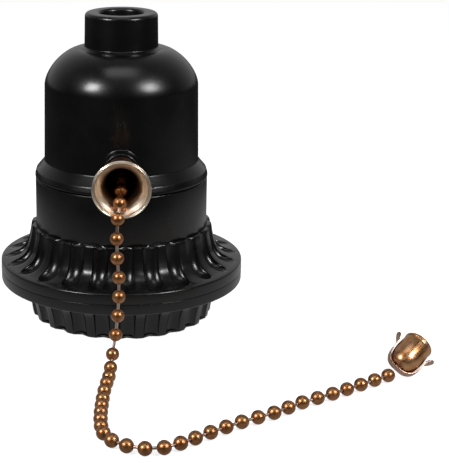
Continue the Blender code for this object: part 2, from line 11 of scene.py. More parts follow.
import bmesh
import bpy
import numpy as np
from mathutils import Matrix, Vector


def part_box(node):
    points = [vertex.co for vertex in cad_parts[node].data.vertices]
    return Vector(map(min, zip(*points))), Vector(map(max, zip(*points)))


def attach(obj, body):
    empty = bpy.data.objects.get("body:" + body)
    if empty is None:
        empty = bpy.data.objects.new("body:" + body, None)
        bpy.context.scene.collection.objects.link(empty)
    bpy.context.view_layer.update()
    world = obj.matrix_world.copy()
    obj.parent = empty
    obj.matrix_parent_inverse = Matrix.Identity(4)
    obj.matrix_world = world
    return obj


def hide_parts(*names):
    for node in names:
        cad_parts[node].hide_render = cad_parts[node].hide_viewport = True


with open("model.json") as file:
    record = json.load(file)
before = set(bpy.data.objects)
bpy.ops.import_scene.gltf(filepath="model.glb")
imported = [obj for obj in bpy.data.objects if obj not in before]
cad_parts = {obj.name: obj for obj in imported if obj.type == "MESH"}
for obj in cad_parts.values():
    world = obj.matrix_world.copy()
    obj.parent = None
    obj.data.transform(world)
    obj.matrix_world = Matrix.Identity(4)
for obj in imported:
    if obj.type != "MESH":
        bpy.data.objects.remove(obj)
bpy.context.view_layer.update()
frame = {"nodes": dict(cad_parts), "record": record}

# Blender's unit is the metre; the shapes below are worked out in millimetres
MM = 0.001
print("frame: %d nodes" % len(frame["nodes"]))


# %% [markdown]
# The camera stands about 35 cm in front of the lampholder and looks down on it by 17 degrees. The lampholder sits
# left of the middle, because the chain runs out to the right. A shift of the lens does that without turning the
# camera, so upright edges stay upright.

# %% Camera
def make_camera():
    """A long lens with no depth of field; its tilt of 72.67 degrees is counted from straight down."""
    camera = bpy.data.objects.new("camera", bpy.data.cameras.new("camera"))
    bpy.context.scene.collection.objects.link(camera)
    camera.location = (0.0, -0.350, 0.1288)
    camera.rotation_euler = (math.radians(72.67), 0.0, 0.0)
    camera.data.lens = 118.2
    camera.data.shift_x = 0.2227
    camera.data.clip_start = 0.01
    bpy.context.scene.camera = camera
    return camera


print("camera lens %.1f mm" % make_camera().data.lens)


# %% [markdown]
# Surfaces are grids of points. A grid has rows along one parameter and columns round the other, so a turned piece is
# a profile times a circle, and a fluted one only lets the radius depend on both. One function skins any number of
# grids into one mesh. Doubles are merged, so that poles close, and the normals are turned outwards.

# %% From grids to a mesh
# Edges that turn by more than this many degrees are shaded crisp; the fillets' own steps stay below it
CRISP = 38.0
# Points closer than this, in mm, are one point
MERGE = 0.002


def skin(name, grids, sharp=CRISP):
    """Quads between neighbours of each grid: column j joins column j + 1, and the last one joins the first.

    grids is a list of (points in mm, closed along the rows, material index).
    """
    points, quads, marks, start = [], [], [], 0
    for grid, closed, mark in grids:
        rows, columns = grid.shape[:2]
        number = start + np.arange(rows * columns).reshape(rows, columns)
        here, there = (number, np.roll(number, -1, 0)) if closed else (number[:-1], number[1:])
        quad = np.stack((here, np.roll(here, -1, 1), np.roll(there, -1, 1), there), -1).reshape(-1, 4)
        points.append(grid.reshape(-1, 3))
        quads.append(quad)
        marks.append(np.full(len(quad), mark))
        start += rows * columns
    mesh = bpy.data.meshes.new(name)
    mesh.from_pydata(np.concatenate(points) * MM, [], np.concatenate(quads).tolist())
    mesh.polygons.foreach_set("material_index", np.concatenate(marks).astype(np.int32))
    return tidy(mesh, name, sharp)


def tidy(mesh, name, sharp):
    """Merge doubles, drop what collapses, point the faces outwards, shade smooth but for crisp edges."""
    work = bmesh.new()
    work.from_mesh(mesh)
    bmesh.ops.remove_doubles(work, verts=work.verts, dist=MERGE * MM)
    bmesh.ops.recalc_face_normals(work, faces=work.faces)
    work.to_mesh(mesh)
    work.free()
    mesh.shade_smooth()
    mesh.set_sharp_from_angle(angle=math.radians(sharp))
    # The object itself stays at the origin, unturned: the place of the piece is in its points
    piece = bpy.data.objects.new(name, mesh)
    bpy.context.scene.collection.objects.link(piece)
    return piece


# %% [markdown]
# Nearly every piece starts from a profile, which is a list of points. On a turned piece they are radius and height.
# Real corners are never sharp, so a corner carries its own fillet, and long curves go through a few chosen points.

# %% Profiles
def turned(profile, steps):
    """Surface of revolution about Z: x = r cos a, y = r sin a, z, with a going once round."""
    around = np.linspace(0.0, 2.0 * np.pi, steps, endpoint=False)
    radius, height = profile[:, 0, None], profile[:, 1, None]
    return np.stack((radius * np.cos(around), radius * np.sin(around), height + 0.0 * around), -1)


def rounded(corners, closed=True, steps=6):
    """Profile through (radius, height, fillet) corners, each corner replaced by an arc.

    The arc starts at distance d = fillet * tan(turn / 2) before the corner and follows the circle that touches both
    sides: its points are blended from the two touching points by the half angle, which is exact for a circle.
    """
    corners = np.asarray(corners, float)
    spots = []
    last = len(corners) - 1
    for i, (r, z, fillet) in enumerate(corners):
        here = np.array((r, z))
        if fillet <= 0.0 or (not closed and i in (0, last)):
            spots.append(here[None])
            continue
        back = corners[i - 1][:2] - here
        ahead = corners[(i + 1) % len(corners)][:2] - here
        back, ahead = back / np.linalg.norm(back), ahead / np.linalg.norm(ahead)
        half = 0.5 * math.acos(np.clip(back @ ahead, -1.0, 1.0))
        inward = (back + ahead) / np.linalg.norm(back + ahead)
        centre = here + inward * fillet / math.sin(half)
        first = here + back * fillet / math.tan(half) - centre
        final = here + ahead * fillet / math.tan(half) - centre
        sweep = np.pi - 2.0 * half
        share = np.linspace(0.0, 1.0, steps)[:, None]
        arc = first * np.sin((1.0 - share) * sweep) + final * np.sin(share * sweep)
        spots.append(centre + arc / np.sin(sweep))
    return np.concatenate(spots)


def smooth_line(route, per_span=16):
    """Catmull-Rom curve: each span blends its four nearest points with cubic weights of t from 0 to 1."""
    route = np.asarray(route, float)
    p1, p2 = route[:-1], route[1:]
    p0, p3 = np.vstack((route[:1], route[:-2])), np.vstack((route[2:], route[-1:]))
    t = np.linspace(0.0, 1.0, per_span, endpoint=False)[:, None, None]
    spans = 0.5 * (2.0 * p1 + (p2 - p0) * t + (2.0 * p0 - 5.0 * p1 + 4.0 * p2 - p3) * t ** 2
                   + (3.0 * p1 - p0 - 3.0 * p2 + p3) * t ** 3)
    return np.vstack((spans.transpose(1, 0, 2).reshape(-1, route.shape[1]), route[-1:]))


def placed(grid, turn, move):
    """Turn a grid by a matrix and move it, both in mm."""
    return grid @ np.asarray(turn, float).T + np.asarray(move, float)


def box_mm(node):
    """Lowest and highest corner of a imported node, in mm."""
    low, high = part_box(node)
    return np.array(low) / MM, np.array(high) / MM


# Turns that lay a piece made about Z so that its axis points out of the front or of the back
FRONT = ((1, 0, 0), (0, 0, -1), (0, 1, 0))
BACK = ((1, 0, 0), (0, 0, 1), (0, -1, 0))
print("cap is", np.round(box_mm("cap")[1] - box_mm("cap")[0], 1), "mm")


# %% [markdown]
# The chain is a free cord: one length of bead chain, hanging out of the bell and lying on the table. It comes first,
# because everything else has to leave room for it. The route is a few listed points, with a smooth curve through them.
# Beads sit on the wire at a pitch of about 4.4 mm where their weight pulls the chain straight, and slide together
# where the chain lies slack.

# %% The chain's route
# The balls are 3 mm across, and the route keeps them just above the table
BEAD_R = 1.5
CHAIN_ROUTE = (
    (0.0, -4.4, 40.4), (0.0, -10.0, 40.3), (0.0, -18.0, 39.95), (0.0, -25.0, 39.85),
    (-0.1, -30.0, 39.15), (-0.2, -33.2, 38.1), (-0.4, -36.2, 36.95), (-0.6, -38.2, 35.9),
    (-0.8, -39.05, 34.2), (-1.0, -39.2, 31.0), (-0.9, -39.1, 26.0), (-0.5, -39.0, 20.0),
    (-0.7, -39.0, 14.0), (-1.2, -39.1, 8.6), (-1.8, -40.1, 4.9), (-2.3, -43.0, 2.4),
    (-2.7, -47.0, 1.55), (-3.5, -53.5, 1.55), (-4.0, -61.0, 1.55), (-4.2, -69.0, 1.55),
    (-3.6, -75.4, 1.55), (-1.6, -79.3, 1.55), (2.4, -82.1, 1.55), (7.0, -82.6, 1.55),
    (11.6, -80.2, 1.55), (17.7, -75.2, 1.55), (24.3, -70.2, 1.55), (31.2, -65.8, 1.55),
    (37.2, -60.8, 1.55), (44.1, -56.3, 1.55), (50.8, -51.4, 1.55), (55.6, -47.9, 1.58),
    (58.4, -45.8, 1.6),
)
# The distance along the route where each stretch ends, and the beads it takes: hanging, landing, slack, lying
BEAD_RUNS = ((67.0, 15), (77.5, 3), (85.9, 2), (102.8, 5), (125.6, 6), (178.9, 13))
# The first bead, just in front of the anchor ball
FIRST_BEAD = 0.9

chain_line = smooth_line(CHAIN_ROUTE)
chain_reach = np.concatenate(([0.0], np.cumsum(np.linalg.norm(np.diff(chain_line, axis=0), axis=1))))
print("chain runs %.1f mm" % chain_reach[-1])


def bead_places():
    """Distances of the beads along the route: each run is divided evenly."""
    stops = [np.array([FIRST_BEAD])]
    for reach, count in BEAD_RUNS:
        stops.append(np.linspace(stops[-1][-1], reach, count + 1)[1:])
    return np.concatenate(stops)


def along_chain(reach):
    """Point of the route at a distance, found on each coordinate by linear interpolation."""
    return np.stack([np.interp(reach, chain_reach, chain_line[:, k]) for k in range(3)], -1)


def frames_along(direction):
    """Right-angled frames whose third axis is each direction; the first one lies level."""
    third = direction / np.linalg.norm(direction, axis=1, keepdims=True)
    level = np.cross(third, (0.0, 0.0, 1.0))
    # Where the chain hangs straight down there is no level direction, so X stands in for it
    upright = np.linalg.norm(level, axis=1) < 0.05
    level[upright] = (1.0, 0.0, 0.0)
    second = np.cross(third, level / np.linalg.norm(level, axis=1, keepdims=True))
    second /= np.linalg.norm(second, axis=1, keepdims=True)
    return np.stack((np.cross(second, third), second, third), -1)


# %% [markdown]
# A bead is a hollow ball rolled from thin strip, with a small hole at each end where the wire goes in. Its profile is
# a half circle that turns inwards at both poles. The wire between two beads has a knob inside each of them, so only
# a short bright neck of it shows. Each bead is copied onto its place by a small turning frame.

# %% Beads and links
# Wire and bead hole radii, and how far from a bead's middle the wire's knob sits
LINK_R = 0.33
HOLE_R = 0.5
KNOB = 1.1


def bead_grid():
    """r = R cos t, z = R sin t between the holes, with a rolled-in lip at each end that closes on the axis."""
    limit = math.acos(HOLE_R / BEAD_R)
    t = np.linspace(-limit, limit, 15)
    ball = np.stack((BEAD_R * np.cos(t), BEAD_R * np.sin(t)), -1)
    lip = np.array(((0.0, 1.2), (0.36, 1.22), (0.42, 1.32)))
    return turned(np.concatenate((lip * (1, -1), ball, lip[::-1])), 22)


def link_grids(centres):
    """Straight round wires from bead to bead, a little into both."""
    between = centres[1:] - centres[:-1]
    length = np.linalg.norm(between, axis=1)
    rod = turned(np.array(((0.0, 0.0), (LINK_R, 0.0), (LINK_R, 1.0), (0.0, 1.0))), 10)
    grids = []
    for start, turn, step, reach in zip(centres, frames_along(between), between, length):
        scale = np.array((1.0, 1.0, reach - 2.0 * KNOB))
        grids.append((placed(rod * scale, turn, start + step / reach * KNOB), False, 1))
    return grids


def make_chain():
    """All beads and links as one mesh. A bead points along the route between 0.4 mm before it and 0.4 mm past it."""
    reach = bead_places()
    centres = along_chain(reach)
    turns = frames_along(along_chain(reach + 0.4) - along_chain(reach - 0.4))
    bead = bead_grid()
    grids = [(placed(bead, turn, centre), False, 0) for turn, centre in zip(turns, centres)]
    anchor = box_mm("anchor_ball")
    inner = (anchor[0] + anchor[1]) / 2.0
    grids += link_grids(np.vstack((inner[None], centres)))
    piece = skin("pull_chain_beads", grids)
    print("chain: %d beads, mean pitch %.2f mm" % (len(centres), np.diff(reach).mean()))
    return piece


chain = make_chain()
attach(chain, "chain")
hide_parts("pull_chain")


# %% [markdown]
# Colours are written as sRGB hex values, the way a paint card gives them, and one function turns them to the linear
# values that shaders work in. Another adds a shader node together with its settings and links.

# %% Colours and nodes
def linear(code):
    """sRGB hex to linear RGBA: below 0.04045 divide by 12.92, above it ((c + 0.055) / 1.055) to the power 2.4."""
    c = np.array([int(code[i:i + 2], 16) for i in (1, 3, 5)]) / 255.0
    return (*np.where(c <= 0.04045, c / 12.92, ((c + 0.055) / 1.055) ** 2.4).tolist(), 1.0)


def add(tree, kind, settings=None, links=None):
    """Add one node. A setting is a socket's value or an option of the node; a link names the socket it feeds."""
    node = tree.nodes.new("ShaderNode" + kind)
    for key, value in (settings or {}).items():
        if isinstance(key, int) or key in node.inputs:
            node.inputs[key].default_value = value
        else:
            setattr(node, key, value)
    for key, source in (links or {}).items():
        tree.links.new(source, node.inputs[key])
    return node


WHITE = linear("#ffffff")
print("mid grey #808080 is %.3f in linear light" % linear("#808080")[0])


# %% [markdown]
# No real surface has one colour and one gloss. Handling, grain and stain vary both by a little, and that little is
# what separates metal from grey paint. So each finish is a recipe: patterns of noise, each with its real size in
# millimetres, steer the colour, the roughness and the relief. They read the object's own coordinates, so that they
# stay on the surface from every side.

# %% A finish from patterns
# Nearly all of a noise's values lie between these two, so they are spread over the wanted range
NOISE_LOW, NOISE_HIGH = 0.3, 0.7
FINISH = {}


def make_finish(name, metallic, patterns, tones, gloss, relief, turns=(), ramp=None, sockets=None):
    """Make a material out of patterns.

    patterns names each noise and gives its size in mm, its detail and, where it runs in lines, the scale along each
    axis; turns are the rotations that bring those axes onto the piece. ramp is an axis and the two places in mm
    between which a tone changes. tones is a pattern and two colours, gloss a pattern and two roughnesses, relief a
    row of patterns with their depths in mm. sockets are values that are the same all over the surface.
    """
    material = bpy.data.materials.new(name)
    material.use_nodes = True
    tree = material.node_tree
    shader = tree.nodes["Principled BSDF"]
    shader.inputs["Metallic"].default_value = metallic
    for socket, value in (sockets or {}).items():
        shader.inputs[socket].default_value = value
    place = lined_up = add(tree, "TexCoord").outputs["Object"]
    for turn in turns:
        lined_up = add(tree, "Mapping", {"Rotation": turn}, {"Vector": lined_up}).outputs["Vector"]

    signals = {}
    for key, (size, detail, *stretch) in patterns.items():
        source = place
        if stretch:
            source = add(tree, "Mapping", {"Scale": stretch}, {"Vector": lined_up}).outputs["Vector"]
        noise = add(tree, "TexNoise", {"Scale": 1.0 / (size * MM), "Detail": detail}, {"Vector": source})
        signals[key] = (noise.outputs["Fac"], NOISE_LOW, NOISE_HIGH)
    if ramp:
        axis, start, end = ramp
        split = add(tree, "SeparateXYZ", None, {"Vector": place})
        signals[axis] = (split.outputs[axis], start * MM, end * MM)

    steered = []
    for key, low, high in ((tones[0], 0.0, 1.0), gloss):
        signal, start, end = signals[key]
        settings = {"From Min": start, "From Max": end, "To Min": low, "To Max": high}
        steered.append(add(tree, "MapRange", settings, {"Value": signal}).outputs["Result"])
    # Sockets 0, 6 and 7 of a Mix node are its factor and its two colours, and output 2 is the mixed colour
    settings = {"data_type": "RGBA", 6: linear(tones[1]), 7: linear(tones[2])}
    tree.links.new(add(tree, "Mix", settings, {0: steered[0]}).outputs[2], shader.inputs["Base Color"])
    tree.links.new(steered[1], shader.inputs["Roughness"])

    below = {}
    for key, depth in relief:
        links = {"Height": signals[key][0], **below}
        below = {"Normal": add(tree, "Bump", {"Distance": depth * MM, "Strength": 1.0}, links).outputs["Normal"]}
    tree.links.new(below["Normal"], shader.inputs["Normal"])
    return material


# %% [markdown]
# The black body is phenolic plastic pressed in a polished steel mould. The mould leaves a satin gloss with a very
# slight unevenness, and handling leaves patches that are a little duller. The plastic itself is nearly black all
# through, so what the eye reads is the gloss. The insulating core inside is a brown grade filled with wood flour,
# which shows as fine pale specks.

# %% Moulded phenolic
# Handling clouds some 9 mm wide, the mould's soft waves of 2.6 mm, and a grain drawn coarse enough to show
FINISH["phenolic"] = make_finish(
    "phenolic_moulded", 0.0,
    {"handling": (9.0, 3.0), "waves": (2.6, 1.0), "grain": (0.35, 3.0)},
    ("handling", "#050505", "#080808"), ("handling", 0.23, 0.31), (("waves", 0.012), ("grain", 0.0035)),
    sockets={"IOR": 1.5},
)
# Flour specks, drawn at half a millimetre: pale, and duller than the resin round them
FINISH["inner_phenolic"] = make_finish(
    "phenolic_wood_filled", 0.0, {"speck": (0.5, 4.0)},
    ("speck", "#2a1d16", "#4b382c"), ("speck", 0.38, 0.52), (("speck", 0.01),),
)
print("plastics:", ", ".join(FINISH))


# %% [markdown]
# The cup on the chain's end lies on its side. Its axis points away to the back right, and the clip that is bent
# round it lies a little rolled. These three angles and one point set both pieces, as they do in the frame. They come
# before the metals, because the marks of the drawing die run along the cup's axis.

# %% Cup and clip position
CUP_POINT = np.array((60.0, -44.0, 2.4))
CUP_HEADING = math.radians(45.0)
CUP_TILT = math.radians(24.0)
CLIP_ROLL = math.radians(38.0)


def cup_turn():
    """Columns are the line through the clip's ears, the direction square to it, and the cup's axis."""
    level = math.cos(CUP_TILT)
    heading = np.array((math.cos(CUP_HEADING) * level, math.sin(CUP_HEADING) * level, math.sin(CUP_TILT)))
    side = np.cross(heading, (0.0, 0.0, 1.0))
    side /= np.linalg.norm(side)
    ears = side * math.cos(CLIP_ROLL) - np.cross(side, heading) * math.sin(CLIP_ROLL)
    return np.stack((ears, np.cross(heading, ears), heading), -1)


print("cup's axis points along", np.round(cup_turn()[:, 2], 2))


# %% [markdown]
# Metals. The chain bell is copper plated and buffed, pale at its rim; inwards towards the throat its colour is painted
# browner as painted shade, and its outside is painted a dull dark brown, also as painted shade. The beads are
# antiqued: a brown bronze plate, rubbed bright where the hand meets it. The cup has the same plate over drawn metal.
# A metal has no body colour, so its two tones tint what it mirrors, and the roughness says how sharp that mirror is.
# Buffing rings and die marks are really finer than these, and are drawn as coarse as they need to be to show.

# %% Plated metals
# Copper flash over brass, buffed round its own axis, with rings that follow the mouth; painted shade browns it into
# the throat
FINISH["copper_plate"] = make_finish(
    "copper_plate_buffed", 1.0, {"rings": (0.3, 1.0, 0.1, 1.0, 0.1)},
    ("Y", "#f6e7d2", "#8a6840"), ("rings", 0.3, 0.4), (("rings", 0.002),), ramp=("Y", -36.2, -33.5),
)
# Bronze plate on steel, antiqued and rubbed back: low spots keep the dark stain, and a lacquer whitens the highlights
FINISH["antique_bronze"] = make_finish(
    "antique_bronze_plate", 1.0, {"stain": (1.1, 3.0), "rubbing": (0.3, 2.0)},
    ("stain", "#8c5930", "#b57d4e"), ("rubbing", 0.33, 0.43), (("stain", 0.004),),
    sockets={"Coat Weight": 0.5, "Coat Roughness": 0.25},
)
# The same plate on the drawn cup: die marks along its axis break the highlight into streaks
FINISH["drawn_bronze"] = make_finish(
    "drawn_bronze_plate", 1.0, {"marks": (0.22, 2.0, 0.06, 1.0, 1.0), "stain": (2.2, 3.0)},
    ("stain", "#b07a48", "#d9aa84"), ("marks", 0.2, 0.46), (("marks", 0.004),),
    turns=((0.0, 0.0, -CUP_HEADING), (0.0, CUP_TILT, 0.0)),
)
print("plated:", ", ".join(list(FINISH)[2:]))


# %% [markdown]
# The other metals are plain: two close tones in patches a few millimetres wide, and a grain that makes the gloss
# uneven. One row of a table says all of that for each of them.

# %% Plain metals
# Slot, material, darker and lighter tone, roughness from and to, grain in mm and, if it is rolled, its scale along
# each axis
PLAIN_METALS = (
    # The bell's outside: the same copper plate, painted a dull dark brown as painted shade
    ("copper_painted_shade", "copper_plate_painted_shade", "#4a3226", "#6b4a38", 0.4, 0.55, 0.8),
    # Nickel and copper wire, drawn: pale and a little pink, the brightest line of the chain
    ("link_wire", "link_wire_drawn", "#b89f90", "#d3bfb2", 0.28, 0.4, 0.3),
    # Spring steel with a thin copper flash, rolled: satin and pinkish
    ("clip_steel", "clip_steel_flashed", "#97786a", "#bd9d8c", 0.24, 0.36, 0.4),
    # Yellow brass strip, pressed: slightly dulled
    ("brass", "brass_pressed", "#a8873f", "#d2b067", 0.24, 0.38, 0.5),
    # Phosphor bronze strip, rolled: redder, with a rolling grain
    ("spring_bronze", "phosphor_bronze_rolled", "#a5713f", "#cf9a63", 0.2, 0.34, 0.4, 1.0, 1.0, 0.15),
    # Zinc plated steel, barrelled: grey and slightly mottled
    ("zinc_steel", "zinc_plate_barrelled", "#8f9396", "#c4c8cb", 0.26, 0.42, 0.6),
)
for key, name, dark, light, smoothest, roughest, grain, *rolled in PLAIN_METALS:
    FINISH[key] = make_finish(
        name, 1.0, {"grain": (grain, 2.0, *rolled), "patches": (3.0, 2.0)},
        ("patches", dark, light), ("grain", smoothest, roughest), (("grain", 0.004),),
    )
print("finishes:", ", ".join(FINISH))


# %% [markdown]
# A new piece needs three things said about it: its finish, the body that it moves with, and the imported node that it
# stands for. The chain is the first to get them, with its beads in one finish and the wire in another.

# %% Dressing a piece
def dress(piece, finish, body, *nodes, slot=None):
    """Give a new piece its finish and body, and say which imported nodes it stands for."""
    if not piece.data.materials:
        piece.data.materials.append(FINISH[finish])
    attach(piece, body)
    if nodes:
        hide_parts(*nodes)
    return piece


for key in ("antique_bronze", "link_wire"):
    chain.data.materials.append(FINISH[key])
print("chain wears", [material.name for material in chain.data.materials])


# %% [markdown]
# The cap is one moulding: a neck with the stem's mouth, a domed top, a straight wall, and a skirt that widens in two
# steps. It is a turned surface. What makes it look moulded is the small fillet at each corner: each one catches
# the light as a thin bright line, so the fillets are part of the profile and not an edge trick.

# %% Outline of the cap
# Heights read off the frame: the neck's mouth, the seam between cap and shell, and the bell's axis
NECK_TOP = box_mm("cap")[1][2]
SEAM = box_mm("shell")[1][2] + 0.3
BELL_Z = float(np.mean([box_mm("chain_bell")[k][2] for k in (0, 1)]))
NECK_BORE = 5.1


def quarter(centre, radii, power, count):
    """Superellipse quarter from its top to its side: cos and sin raised to 2 / power."""
    t = np.linspace(np.pi / 2, 0.0, count)
    return np.stack((centre[0] + radii[0] * np.cos(t) ** (2.0 / power),
                     centre[1] + radii[1] * np.sin(t) ** (2.0 / power)), -1)


def cap_outside():
    """Outer profile of the cap, from the mouth down to the seam."""
    neck = rounded(((NECK_BORE, NECK_TOP - 3.0, 0.0), (NECK_BORE, NECK_TOP, 0.7), (8.45, NECK_TOP, 0.85),
                    (8.6, 64.75, 0.25), (9.35, 64.5, 0.2), (9.6, 64.36, 0.0)), closed=False, steps=8)
    dome = quarter((10.0, 56.0), (7.98, 8.35), 1.6, 30)
    skirt = rounded(((17.98, 55.9, 0.0), (18.25, 38.0, 0.35), (19.75, 36.2, 0.22), (20.15, 35.75, 0.5),
                     (20.45, 34.7, 0.3), (20.5, SEAM, 0.2), (18.1, SEAM, 0.0)), closed=False, steps=8)
    return np.concatenate((neck, dome, skirt))


def cap_grid():
    """The outline and, back up inside, a straight wall, a vault and the seat of the bushing, turned about Z."""
    inside = np.array(((18.1, 28.2), (16.1, 28.2), (16.1, 54.5)))
    vault = quarter((9.0, 54.5), (7.1, 6.9), 1.6, 12)[::-1]
    bush_seat = np.array(((6.7, 61.4), (6.7, 70.1), (NECK_BORE, 70.1)))
    return turned(np.concatenate((cap_outside(), inside, vault, bush_seat)), 160)


print("seam at %.1f mm, bell's axis at %.1f mm" % (SEAM, BELL_Z))


# %% [markdown]
# A round boss stands out of the wall in front, and the bell screws into it. On the real cap it is one piece with the
# wall. It could be joined to it by a Boolean, but that leaves ragged faces along the fillet. So it is a second closed
# surface instead: its foot follows the wall's own formula and lies a hair inside it.

# %% Boss
def boss_grid():
    """Round boss that the bell screws into, with a fillet f at its foot.

    At radius q and angle a about its own axis, the foot rests on the cap, whose surface stands off by
    sqrt(r(z)^2 - x^2). The fillet adds f (1 - cos t) while q shrinks by f sin t.
    """
    outside = cap_outside()[::-1]
    around = np.linspace(0.0, 2.0 * np.pi, 96, endpoint=False)
    boss_r, fillet, end, bore, bore_end = 3.95, 0.3, 21.5, 3.25, 16.6
    # How far the foot and, behind it, the closing row lie inside the wall's surface
    sunk, back = 0.02, 0.8

    def stand_off(q):
        """Distance of the wall from the plane through the cap's axis, round a circle of radius q."""
        x, z = q * np.cos(around), BELL_Z + q * np.sin(around)
        return np.sqrt(np.interp(z, outside[:, 1], outside[:, 0]) ** 2 - x ** 2)

    rows = []
    for t in np.linspace(0.0, np.pi / 2, 9):
        q = boss_r + fillet * (1.0 - math.sin(t))
        rows.append((q, np.minimum(stand_off(q) + fillet * (1.0 - math.cos(t)) - sunk, end - 0.6)))
    for q, out in rounded(((boss_r, end - 0.5, 0.0), (boss_r, end, 0.3), (bore, end, 0.1), (bore, end - 2.0, 0.0)),
                          closed=False):
        rows.append((q, out + 0.0 * around))
    rows.append((bore, bore_end + 0.0 * around))
    rows.append((boss_r + fillet, stand_off(boss_r + fillet) - back))
    return np.stack([np.stack((q * np.cos(around), -out, BELL_Z + q * np.sin(around)), -1) for q, out in rows])


# %% [markdown]
# The neck has one cross hole at the back, for the set screw. That hole breaks the turned surface, so here a Boolean
# modifier is the right tool: a round cutter is taken out of the cap, the result becomes the mesh, and the cutter goes.

# %% The finished cap
# The set screw's height and the radius of its hole
SCREW_Z = 66.5
SCREW_HOLE_R = 1.6


def drill(piece, radius, start, end):
    """Cut a round hole along +Y between two distances from the axis, at the set screw's height."""
    rod = turned(np.array(((0.0, start), (radius, start), (radius, end), (0.0, end))), 40)
    cutter = skin(piece.name + "_drill", [(placed(rod, BACK, (0.0, 0.0, SCREW_Z)), False, 0)])
    cut = piece.modifiers.new("drill", "BOOLEAN")
    cut.object = cutter
    cut.solver = "EXACT"
    bpy.context.view_layer.update()
    mesh = bpy.data.meshes.new_from_object(piece.evaluated_get(bpy.context.evaluated_depsgraph_get()))
    piece.modifiers.clear()
    piece.data = mesh
    bpy.data.objects.remove(cutter)
    mesh.shade_smooth()
    mesh.set_sharp_from_angle(angle=math.radians(CRISP))


cap = skin("cap_moulding", [(cap_grid(), True, 0)])
drill(cap, SCREW_HOLE_R, 3.0, 10.0)
dress(cap, "phenolic", "lampholder", "cap")
boss = skin("cap_boss", [(boss_grid(), True, 0)])
dress(boss, "phenolic", "lampholder")
print("cap: %d faces" % len(cap.data.polygons))


# %% [markdown]
# The shell is the lower moulding: a plain band, then a barrel with a coarse 40 mm thread that the shade rings turn on.
# A thread is a turned wall whose radius also depends on the angle, so that the crest climbs one pitch in one turn. The
# neck's entry and the lamp's screw shell use the same function later.

# %% Threads
def threaded(profile, steps, low, high, pitch, depth, outward=True):
    """Turned surface with a helical groove between two heights.

    The wave is w = 0.5 - 0.5 cos(2 pi (z / pitch - a / 2 pi)), faded out over half a pitch at both ends.
    """
    grid = turned(profile, steps)
    around = np.linspace(0.0, 2.0 * np.pi, steps, endpoint=False)
    height = profile[:, 1, None]
    wave = 0.5 - 0.5 * np.cos(2.0 * np.pi * height / pitch - around)
    run_in, run_out = (height - low) / (0.5 * pitch), (high - height) / (0.5 * pitch)
    fade = np.clip(run_in, 0.0, 1.0) * np.clip(run_out, 0.0, 1.0)
    radius = np.maximum(profile[:, 0, None], 1e-6)
    scale = 1.0 + (-1.0 if outward else 1.0) * depth * wave * fade / radius
    grid[..., :2] *= scale[..., None]
    return grid


def wall(radius, start, end, pitch, samples=9):
    """Evenly spaced points up or down a straight wall, fine enough for its thread."""
    count = int(abs(end - start) / pitch * samples) + 2
    return np.stack((np.full(count, radius), np.linspace(start, end, count)), -1)


print("a thread is drawn with %d points to a pitch" % (len(wall(1.0, 0.0, 1.0, 1.0)) - 2))


# %% Shell
# The barrel's outer radius, the heights its thread runs between, and the thread's pitch and depth
BARREL_R = 19.7
BARREL_LOW, BARREL_HIGH = 2.0, 19.8
BARREL_PITCH = 2.5
BARREL_DEPTH = 0.45


def shell_grid():
    """Band, threaded barrel, mouth and the seat of the core, as one profile turned about Z."""
    band = rounded(((18.4, SEAM - 0.3, 0.0), (20.4, SEAM - 0.3, 0.22), (20.4, 20.9, 0.2), (BARREL_R, 20.6, 0.1),
                    (BARREL_R, 19.9, 0.0)), closed=False)
    barrel = wall(BARREL_R, BARREL_HIGH, BARREL_LOW, BARREL_PITCH)
    mouth = rounded(((BARREL_R, 1.9, 0.0), (BARREL_R, 1.3, 0.35), (17.6, 1.3, 0.3), (17.6, 24.2, 0.0)), closed=False)
    seat = np.array(((16.4, 25.0), (16.4, 26.3), (18.4, 26.3)))
    profile = np.concatenate((band, barrel, mouth, seat))
    return threaded(profile, 144, BARREL_LOW, BARREL_HIGH, BARREL_PITCH, BARREL_DEPTH)


shell = dress(skin("shell_moulding", [(shell_grid(), True, 0)]), "phenolic", "lampholder", "shell")
print("shell: %d faces" % len(shell.data.polygons))


# %% [markdown]
# The shade rings are the piece that takes the most care. Each is a collar that flares into a flat flange. Twenty-four
# narrow ribs stand on the collar, and between them the hand finds rounded flutes that run out on the flange like
# the mark of a spoon. A flute's section is half an ellipse: across it the angle goes as cos t while its depth goes as
# sin t, so the points crowd at the rib's edge, where the surface turns fastest. Past the flare its width shrinks as a
# quarter ellipse, which rounds its end.

# %% Fluted shade rings
# Height of the seam between the two rings, and half the gap that is left in it
RING_SEAM = (box_mm("upper_shade_ring")[0][2] + box_mm("lower_shade_ring")[1][2]) / 2.0
HALF_GAP = 0.04
# Ribs on a collar, and half the angle of a rib and of a flute in degrees
RIBS = 24
RIB_HALF = 2.7
FLUTE_HALF = 180.0 / RIBS - RIB_HALF
# From the collar's end to the rim: radius, height above the seam, and depth of the flutes there
RING_ENVELOPE = (
    (21.3, 11.1, 0.72), (21.6, 10.75, 0.85), (21.95, 8.7, 1.0), (22.4, 6.8, 1.15),
    (23.1, 5.1, 1.3), (24.5, 3.75, 1.35), (26.5, 2.95, 0.75), (28.2, 2.62, 0.0),
)
# Radii between which a flute narrows to nothing
SCOOP_START, SCOOP_END = 24.2, 27.6


